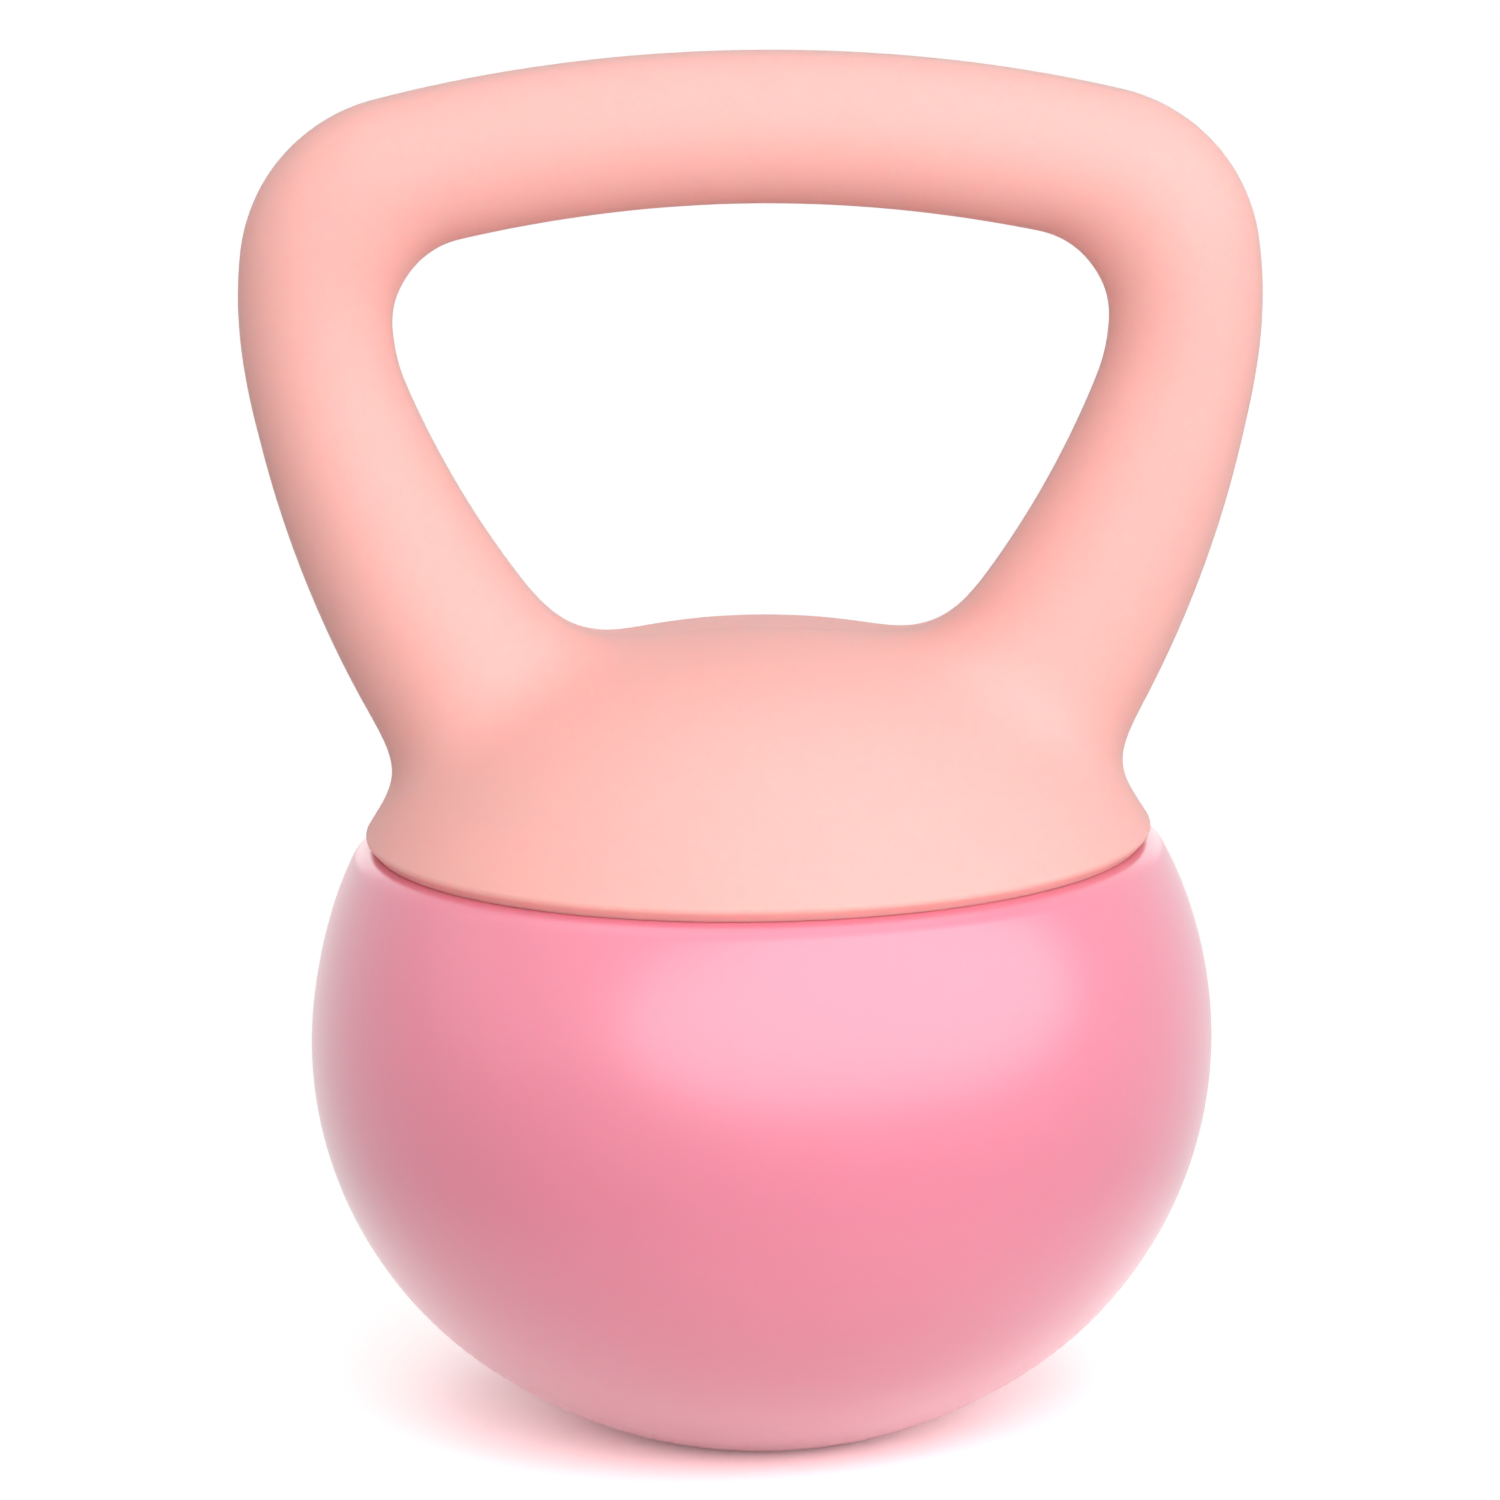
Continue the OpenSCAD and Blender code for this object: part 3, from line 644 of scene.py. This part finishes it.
def ball_outline(s, step):
    """The ball's outer curve from the axis to the mouth, its inner curve, and its side's centre.

    The inner curve goes down the lip, round the clamped flange and back along the wall.
    """
    side_r = s.ball_d / 2 - s.side_out
    under_r = side_r + math.hypot(s.side_out, s.under_up)
    under_z = math.sqrt(under_r ** 2 - (s.foot_d / 2) ** 2)
    side = (s.side_out, under_z - s.under_up)
    under = (0, under_z)
    meet = math.atan2(-s.under_up, s.side_out)
    foot = math.asin(s.foot_d / 2 / under_r)
    mouth = math.asin((s.mouth_z - side[1]) / side_r)
    past_foot = foot + s.foot_round / under_r
    past_mouth = s.mouth_round / side_r
    underside = arc(under, under_r, past_foot - math.pi / 2, meet, step)
    flank = arc(side, side_r, meet, mouth - past_mouth, step)
    mouth_r = side[0] + side_r * math.cos(mouth)
    mouth_edge = (mouth_r - s.mouth_round, s.mouth_z)
    outer = line((0, 0), (s.foot_d / 2 - s.foot_round, 0), step)
    outer += softened(outer[-1], (s.foot_d / 2, 0), underside[0], step)[1:]
    outer += underside[1:] + flank[1:]
    outer += softened(flank[-1], (mouth_r, s.mouth_z), mouth_edge, MOUTH_STEP)[1:]
    lip_in = mouth_r - s.lip_w
    flange_top = PLATE_LOW.z - s.gasket_t
    flange_low = flange_top - s.flange_t
    inner_r = side_r - s.skin_t
    neck = math.asin((flange_low - side[1]) / inner_r)
    base_r = math.sqrt((under_r - s.skin_t) ** 2 - (under_z - s.floor_t) ** 2)
    base = -math.acos(base_r / (under_r - s.skin_t))
    inner = [(lip_in, s.mouth_z), (lip_in, flange_top), (s.flange_in, flange_top),
             (s.flange_in, flange_low)]
    inner += arc(side, inner_r, neck, meet, 2 * step)
    inner += arc(under, under_r - s.skin_t, meet, base, 2 * step)[1:]
    inner.append((0, s.floor_t))
    return outer, inner, side


# ---------------- materials

# Nearly all values of a noise pattern lie in this span, which a map range then stretches.
NOISE_SPAN = {"From Min": 0.3, "From Max": 0.7}


def add(tree, kind, settings=None, links=None):
    """Adds a node, sets its properties and sockets by name or number, and links its sockets."""
    node = tree.nodes.new(kind)
    for key, value in (settings or {}).items():
        if isinstance(key, int) or key in node.inputs:
            node.inputs[key].default_value = value
        else:
            setattr(node, key, value)
    for key, source in (links or {}).items():
        tree.links.new(source, node.inputs[key])
    return node


def new_material(name):
    """A material, its node tree, and the object's own coordinates in that tree, in metres."""
    material = bpy.data.materials.new(name)
    material.use_nodes = True
    tree = material.node_tree
    tree.nodes.clear()
    return material, tree, add(tree, "ShaderNodeTexCoord").outputs["Object"]


def spaced(millimetres):
    """The scale at which a pattern's grains lie the given number of millimetres apart."""
    return 1 / (millimetres * MM)


def shade(colour_value, factor):
    """A linear colour made lighter or darker by a factor."""
    return [c * factor for c in colour_value[:3]] + [1.0]


def moulded_abs(s):
    """Satin ABS. Its mould was spark-eroded, which leaves an even matte skin with a dull sheen.

    The eroded grain is about 0.2 mm wide, too fine to show, so it is drawn 0.8 mm wide. Its
    pits swallow much of the gloss, which is why the specular level is well under one half. The
    slow drift in tone and gloss is how the melt flowed. Light goes a few millimetres into
    the pigmented plastic, red the farthest, which warms the shaded sides.
    """
    material, tree, place = new_material("moulded_abs_satin")
    flow = add(tree, "ShaderNodeTexNoise", {"Scale": spaced(22), "Detail": 3.0},
               {"Vector": place}).outputs["Fac"]
    grain = add(tree, "ShaderNodeTexNoise", {"Scale": spaced(0.8), "Detail": 2.0},
                {"Vector": place}).outputs["Fac"]
    tone = add(tree, "ShaderNodeMix", {"data_type": "RGBA", 6: shade(s.plastic, 0.985), 7: s.plastic},
               {0: flow}).outputs[2]
    gloss = add(tree, "ShaderNodeMapRange", {**NOISE_SPAN, "To Min": 0.58, "To Max": 0.64},
                {"Value": flow}).outputs[0]
    pits = add(tree, "ShaderNodeBump", {"Distance": 0.012 * MM}, {"Height": grain}).outputs[0]
    shader = add(tree, "ShaderNodeBsdfPrincipled", {
        "IOR": 1.53, "Specular IOR Level": 0.28, "Subsurface Weight": 0.6,
        "Subsurface Radius": (1.0, 0.16, 0.1), "Subsurface Scale": 9 * MM,
    }, {"Base Color": tone, "Roughness": gloss, "Normal": pits}).outputs[0]
    add(tree, "ShaderNodeOutputMaterial", None, {"Surface": shader})
    return material


def cast_pvc(s):
    """Soft plasticised PVC, cast in a polished mould: a smooth skin with a broad, oily sheen.

    The skin has a faint orange peel of about 3.5 mm, and the softener clouds its tone and
    gloss over some 30 mm. A little of it comes to the surface as a thin film, the coat.
    """
    material, tree, place = new_material("soft_pvc_sheen")
    cloud = add(tree, "ShaderNodeTexNoise", {"Scale": spaced(30), "Detail": 2.0},
                {"Vector": place}).outputs["Fac"]
    peel = add(tree, "ShaderNodeTexNoise", {"Scale": spaced(3.5), "Detail": 1.0},
               {"Vector": place}).outputs["Fac"]
    tone = add(tree, "ShaderNodeMix", {"data_type": "RGBA", 6: shade(s.vinyl, 0.98), 7: s.vinyl},
               {0: cloud}).outputs[2]
    gloss = add(tree, "ShaderNodeMapRange", {**NOISE_SPAN, "To Min": 0.3, "To Max": 0.34},
                {"Value": cloud}).outputs[0]
    waves = add(tree, "ShaderNodeBump", {"Distance": 0.02 * MM}, {"Height": peel}).outputs[0]
    shader = add(tree, "ShaderNodeBsdfPrincipled", {
        "IOR": 1.54, "Subsurface Weight": 0.3, "Subsurface Radius": (1.0, 0.25, 0.3),
        "Subsurface Scale": 5 * MM, "Coat Weight": 0.9, "Coat Roughness": 0.3,
    }, {"Base Color": tone, "Roughness": gloss, "Normal": waves}).outputs[0]
    add(tree, "ShaderNodeOutputMaterial", None, {"Surface": shader})
    return material


def plain_abs():
    """ABS from a plain machined mould, as inner pieces are: a duller skin with long flow marks."""
    material, tree, place = new_material("moulded_abs_plain")
    along = add(tree, "ShaderNodeMapping", {"Scale": (1, 1, 4)}, {"Vector": place}).outputs[0]
    flow = add(tree, "ShaderNodeTexNoise", {"Scale": spaced(14), "Detail": 3.0},
               {"Vector": along}).outputs["Fac"]
    cut = add(tree, "ShaderNodeTexNoise", {"Scale": spaced(0.9), "Detail": 2.0},
              {"Vector": place}).outputs["Fac"]
    tone = add(tree, "ShaderNodeMix", {"data_type": "RGBA", 6: linear("#E0A8A0"), 7: linear("#EBB5AD")},
               {0: flow}).outputs[2]
    gloss = add(tree, "ShaderNodeMapRange", {**NOISE_SPAN, "To Min": 0.55, "To Max": 0.65},
                {"Value": flow}).outputs[0]
    marks = add(tree, "ShaderNodeBump", {"Distance": 0.015 * MM}, {"Height": cut}).outputs[0]
    shader = add(tree, "ShaderNodeBsdfPrincipled", {"IOR": 1.53},
                 {"Base Color": tone, "Roughness": gloss, "Normal": marks}).outputs[0]
    add(tree, "ShaderNodeOutputMaterial", None, {"Surface": shader})
    return material


def natural_polypropylene():
    """Unpigmented polypropylene, moulded: milky and waxy, clouded where it cooled slowly."""
    material, tree, place = new_material("natural_polypropylene")
    haze = add(tree, "ShaderNodeTexNoise", {"Scale": spaced(9), "Detail": 2.0},
               {"Vector": place}).outputs["Fac"]
    tone = add(tree, "ShaderNodeMix", {"data_type": "RGBA", 6: linear("#CFCBC2"), 7: linear("#DEDAD2")},
               {0: haze}).outputs[2]
    gloss = add(tree, "ShaderNodeMapRange", {**NOISE_SPAN, "To Min": 0.42, "To Max": 0.55},
                {"Value": haze}).outputs[0]
    shader = add(tree, "ShaderNodeBsdfPrincipled", {
        "IOR": 1.49, "Subsurface Weight": 0.4, "Subsurface Radius": (1.0, 0.9, 0.8),
        "Subsurface Scale": 3 * MM,
    }, {"Base Color": tone, "Roughness": gloss}).outputs[0]
    add(tree, "ShaderNodeOutputMaterial", None, {"Surface": shader})
    return material


def nitrile_sheet():
    """Nitrile rubber sheet, calendered between rolls and dusted with talc: dull and nearly black."""
    material, tree, place = new_material("nitrile_rubber_sheet")
    talc = add(tree, "ShaderNodeTexNoise", {"Scale": spaced(2.5), "Detail": 4.0},
               {"Vector": place}).outputs["Fac"]
    tone = add(tree, "ShaderNodeMix", {"data_type": "RGBA", 6: linear("#2B2B2C"), 7: linear("#3A3A3B")},
               {0: talc}).outputs[2]
    gloss = add(tree, "ShaderNodeMapRange", {**NOISE_SPAN, "To Min": 0.65, "To Max": 0.8},
                {"Value": talc}).outputs[0]
    dust = add(tree, "ShaderNodeBump", {"Distance": 0.02 * MM}, {"Height": talc}).outputs[0]
    shader = add(tree, "ShaderNodeBsdfPrincipled", {"IOR": 1.52},
                 {"Base Color": tone, "Roughness": gloss, "Normal": dust}).outputs[0]
    add(tree, "ShaderNodeOutputMaterial", None, {"Surface": shader})
    return material


def zinc_plated():
    """Bright zinc on cold-headed steel: a cool grey shine, clouded over a millimetre or two."""
    material, tree, place = new_material("zinc_plated_steel")
    cloud = add(tree, "ShaderNodeTexNoise", {"Scale": spaced(1.6), "Detail": 3.0},
                {"Vector": place}).outputs["Fac"]
    tone = add(tree, "ShaderNodeMix", {"data_type": "RGBA", 6: linear("#B9BEC4"), 7: linear("#CDD1D6")},
               {0: cloud}).outputs[2]
    gloss = add(tree, "ShaderNodeMapRange", {**NOISE_SPAN, "To Min": 0.25, "To Max": 0.4},
                {"Value": cloud}).outputs[0]
    shader = add(tree, "ShaderNodeBsdfPrincipled", {"Metallic": 1.0},
                 {"Base Color": tone, "Roughness": gloss}).outputs[0]
    add(tree, "ShaderNodeOutputMaterial", None, {"Surface": shader})
    return material


def iron_sand():
    """Black iron sand, washed and dried: grit of about 0.6 mm, each grain its own shade."""
    material, tree, place = new_material("iron_sand")
    grain = add(tree, "ShaderNodeTexVoronoi", {"Scale": spaced(0.6)}, {"Vector": place}).outputs
    apart = add(tree, "ShaderNodeSeparateColor", None, {"Color": grain["Color"]}).outputs[0]
    tone = add(tree, "ShaderNodeMix", {"data_type": "RGBA", 6: linear("#242120"), 7: linear("#5A5552")},
               {0: apart}).outputs[2]
    gloss = add(tree, "ShaderNodeMapRange", {"To Min": 0.45, "To Max": 0.8},
                {"Value": apart}).outputs[0]
    lumps = add(tree, "ShaderNodeBump", {"Distance": -0.3 * MM},
                {"Height": grain["Distance"]}).outputs[0]
    shader = add(tree, "ShaderNodeBsdfPrincipled", {"IOR": 1.8},
                 {"Base Color": tone, "Roughness": gloss, "Normal": lumps}).outputs[0]
    add(tree, "ShaderNodeOutputMaterial", None, {"Surface": shader})
    return material


# ---------------- operators

def join_body(piece, slot, material, *nodes):
    """Gives the piece its one material and lets it ride on the body in place of the CAD nodes."""
    piece.data.materials.clear()
    piece.data.materials.append(material)
    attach(piece, ROOT)
    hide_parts(*nodes)


class KETTLEBELL_OT_handle(Operator):
    """Mould the handle and cap as two welded, hollow halves"""
    bl_idname = "kettlebell.handle"
    bl_label = "Mould Handle"

    def execute(self, context):
        s = context.scene.kettlebell_handle
        form = HandleForm(s, 0, s.rim_z - 2 * s.wall)
        whole = form.skin("handle_whole", s.skin_step)
        hollow_low = PLATE_HIGH.z + s.plate_clear + s.over_lip + s.wall / 2
        hollow = HandleForm(s, s.wall, hollow_low)
        cut_away(whole, hollow.skin("hollow", 2 * s.skin_step))
        cut_away(whole, underside_room(s, form))
        plastic = moulded_abs(s)
        for name, side in (("handle_front", -1), ("handle_rear", 1)):
            piece = half_shell(name, whole, form, side)
            join_body(piece, "handle_plastic", plastic, f"{name}_shell")
        bpy.data.objects.remove(whole)
        return {"FINISHED"}


class KETTLEBELL_OT_ball(Operator):
    """Cast the soft ball and let it settle under its fill"""
    bl_idname = "kettlebell.ball"
    bl_label = "Cast Ball"

    def execute(self, context):
        s = context.scene.kettlebell_ball
        outer, inner, centre = ball_outline(s, s.skin_step)
        piece = mesh_object("soft_ball", *spin(outer + inner, s.around))
        p = coordinates(piece.data)
        outside = p[:1 + s.around * (len(outer) - 1)]
        outside += settled(outside, s, centre[1])
        piece.data.vertices.foreach_set("co", p.ravel())
        piece.data.update()
        join_body(piece, "ball_vinyl", cast_pvc(s), "ball_skin")
        return {"FINISHED"}


class KETTLEBELL_OT_closure(Operator):
    """Finish the closure plate, gasket, ring, screws and fill inside"""
    bl_idname = "kettlebell.closure"
    bl_label = "Finish Closure"

    def execute(self, context):
        finishes = {
            "closure_plate": plain_abs(),
            "mouth_ring": natural_polypropylene(),
            "mouth_gasket": nitrile_sheet(),
            "clamp_screws": zinc_plated(),
            "iron_sand_fill": iron_sand(),
        }
        for name, material in finishes.items():
            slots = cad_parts[name].material_slots
            if not slots:
                raise RuntimeError(f"{name} has no slot for its material")
            for slot in slots:
                slot.material = material
        return {"FINISHED"}


def softbox(name, target, azimuth, elevation, distance, width, height, watts, tint="#FFFFFF"):
    """A round or oval lamp that faces the target, with its sizes in metres.

    Azimuth is in degrees from the front towards the right, elevation upwards.
    """
    a, e = math.radians(azimuth), math.radians(elevation)
    lamp = bpy.data.lights.new(name, "AREA")
    lamp.shape = "ELLIPSE"
    lamp.size, lamp.size_y = width, height
    lamp.energy = watts
    lamp.color = linear(tint)[:3]
    holder = bpy.data.objects.new(name, lamp)
    way = Vector((math.cos(e) * math.sin(a), -math.cos(e) * math.cos(a), math.sin(e)))
    holder.location = target + distance * way
    holder.rotation_euler = way.to_track_quat("Z", "Y").to_euler()
    holder.visible_camera = False
    bpy.context.scene.collection.objects.link(holder)


def seen_rays(tree):
    """1 on rays by which the surroundings are seen: straight, mirrored or through a piece."""
    path = add(tree, "ShaderNodeLightPath").outputs
    straight = add(tree, "ShaderNodeMath", {"operation": "MAXIMUM"},
                   {0: path["Is Camera Ray"], 1: path["Is Glossy Ray"]}).outputs[0]
    return add(tree, "ShaderNodeMath", {"operation": "MAXIMUM"},
               {0: straight, 1: path["Is Transmission Ray"]}).outputs[0]


def studio_paper(s):
    """Seamless studio paper: matte, rolled smooth, and pure white far from the object.

    To the rays that see it the paper is lifted to white, with the object's shadow kept. It
    lights the object no more than a grey paper does.
    """
    material, tree, place = new_material("studio_paper")
    reach = add(tree, "ShaderNodeVectorMath", {"operation": "LENGTH"}, {0: place}).outputs["Value"]
    far = add(tree, "ShaderNodeMapRange", {"From Min": s.paper_near, "From Max": s.paper_far},
              {"Value": reach}).outputs[0]
    seen = seen_rays(tree)
    white = add(tree, "ShaderNodeMath", {"operation": "MULTIPLY"}, {0: far, 1: seen}).outputs[0]
    lifted = add(tree, "ShaderNodeMix", {"data_type": "RGBA", 6: s.floor,
                                         7: shade(s.floor, s.paper_lift)}, {0: seen}).outputs[2]
    matte = add(tree, "ShaderNodeBsdfDiffuse", None, {"Color": lifted}).outputs[0]
    glow = add(tree, "ShaderNodeEmission", {"Strength": 1.0}).outputs[0]
    mix = add(tree, "ShaderNodeMixShader", None, {0: white, 1: matte, 2: glow}).outputs[0]
    add(tree, "ShaderNodeOutputMaterial", None, {"Surface": mix})
    return material


def pale_surroundings(s):
    """A world that lights the object at a low level and is seen as pure white."""
    world = bpy.data.worlds.new("studio")
    world.use_nodes = True
    tree = world.node_tree
    tree.nodes.clear()
    level = add(tree, "ShaderNodeMix", {"data_type": "FLOAT", 2: s.world, 3: 1.0},
                {0: seen_rays(tree)}).outputs[0]
    light = add(tree, "ShaderNodeBackground", {"Color": (1, 1, 1, 1)},
                {"Strength": level}).outputs[0]
    add(tree, "ShaderNodeOutputWorld", None, {"Surface": light})
    return world


def raised_camera(s, target):
    """The camera, far in front of the object and a little above it, with a slight roll."""
    camera = bpy.data.cameras.new("camera")
    camera.lens = s.lens
    camera.sensor_width = 36
    camera.shift_x = s.shift
    camera.clip_start, camera.clip_end = 0.05, 20
    holder = bpy.data.objects.new("camera", camera)
    place = Vector((0, -s.camera_distance, s.camera_height))
    turn = (target - place).to_track_quat("-Z", "Y").to_matrix().to_4x4()
    holder.matrix_world = Matrix.Translation(place) @ turn @ Matrix.Rotation(-s.roll, 4, "Z")
    bpy.context.scene.collection.objects.link(holder)
    return holder


class KETTLEBELL_OT_stage(Operator):
    """Lay the floor and set the lights and the camera"""
    bl_idname = "kettlebell.stage"
    bl_label = "Set Stage"

    def execute(self, context):
        s = context.scene.kettlebell_stage
        half = s.floor_size / 2
        floor = mesh_object("floor", [(-half, -half, 0), (half, -half, 0), (half, half, 0),
                                      (-half, half, 0)], [(0, 1, 2, 3)])
        floor.data.materials.append(studio_paper(s))
        middle = Vector((0, 0, s.aim_height))
        softbox("key", middle, azimuth=26, elevation=22, distance=1.2, width=4.2, height=1.35,
                watts=s.key)
        softbox("fill", middle, azimuth=-66, elevation=34, distance=1.8, width=2.7, height=2.7,
                watts=s.fill, tint="#FFF1F0")
        softbox("top", middle, azimuth=0, elevation=88, distance=1.4, width=1.8, height=1.8,
                watts=s.top)
        softbox("back", middle, azimuth=180, elevation=10, distance=1.8, width=1.8, height=0.9,
                watts=s.back)
        context.scene.world = pale_surroundings(s)
        context.scene.camera = raised_camera(s, middle)
        context.scene.view_settings.view_transform = "Standard"
        return {"FINISHED"}


class KETTLEBELL_PT_panel(Panel):
    """The steps that make the kettlebell, in order"""
    bl_idname = "KETTLEBELL_PT_panel"
    bl_label = "Soft Kettlebell"
    bl_space_type = "VIEW_3D"
    bl_region_type = "UI"
    bl_category = "Kettlebell"

    def draw(self, context):
        for group, settings in GROUPS.items():
            box = self.layout.box()
            for name in settings.__annotations__:
                box.prop(getattr(context.scene, group), name)
        for step in STEPS:
            self.layout.operator(step.bl_idname)


GROUPS = {"kettlebell_handle": HandleSettings, "kettlebell_ball": BallSettings,
          "kettlebell_stage": StageSettings}
STEPS = (KETTLEBELL_OT_handle, KETTLEBELL_OT_ball, KETTLEBELL_OT_closure, KETTLEBELL_OT_stage)


def register():
    for cls in (*GROUPS.values(), *STEPS, KETTLEBELL_PT_panel):
        bpy.utils.register_class(cls)
    for name, group in GROUPS.items():
        setattr(bpy.types.Scene, name, PointerProperty(type=group))


def unregister():
    for name in GROUPS:
        delattr(bpy.types.Scene, name)
    for cls in (KETTLEBELL_PT_panel, *reversed(STEPS), *GROUPS.values()):
        bpy.utils.unregister_class(cls)


def main():
    """Registers the add-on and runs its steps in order."""
    register()
    bpy.ops.kettlebell.handle()
    bpy.ops.kettlebell.ball()
    bpy.ops.kettlebell.closure()
    bpy.ops.kettlebell.stage()


if __name__ == "__main__":
    main()
